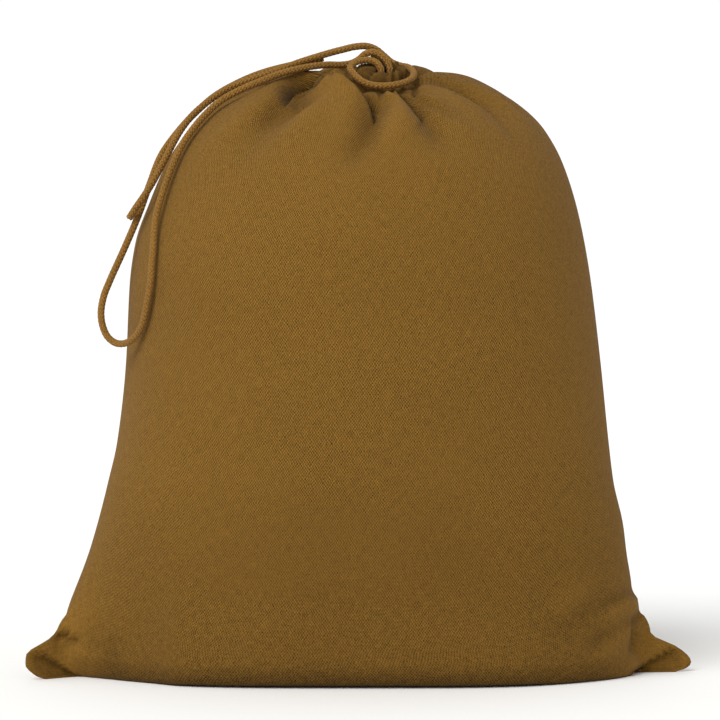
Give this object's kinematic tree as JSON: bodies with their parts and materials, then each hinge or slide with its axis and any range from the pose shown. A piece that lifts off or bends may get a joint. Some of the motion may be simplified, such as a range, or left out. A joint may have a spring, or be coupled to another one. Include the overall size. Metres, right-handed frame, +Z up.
{
  "type": "ditty bag",
  "caption": "Plain canvas drawstring bag standing full on its base, mouth gathered shut under a ring of cord, with the cord's ends trailing over one shoulder.",
  "frame": {"origin": "on the surface that the bag stands on, under the middle of the bag", "axes": "+Z up, +X to the right seen from the front, +Y from the front to the back"},
  "size_m": [0.4016, 0.227, 0.3816],
  "materials": {
    "canvas": "plain weave, washed",
    "cord": "braided"
  },
  "bodies": {
    "root": {"front_panel": "canvas", "back_panel": "canvas", "cord_ring_end": "cord", "cord_loop_end": "cord"}
  },
  "joints": []
}
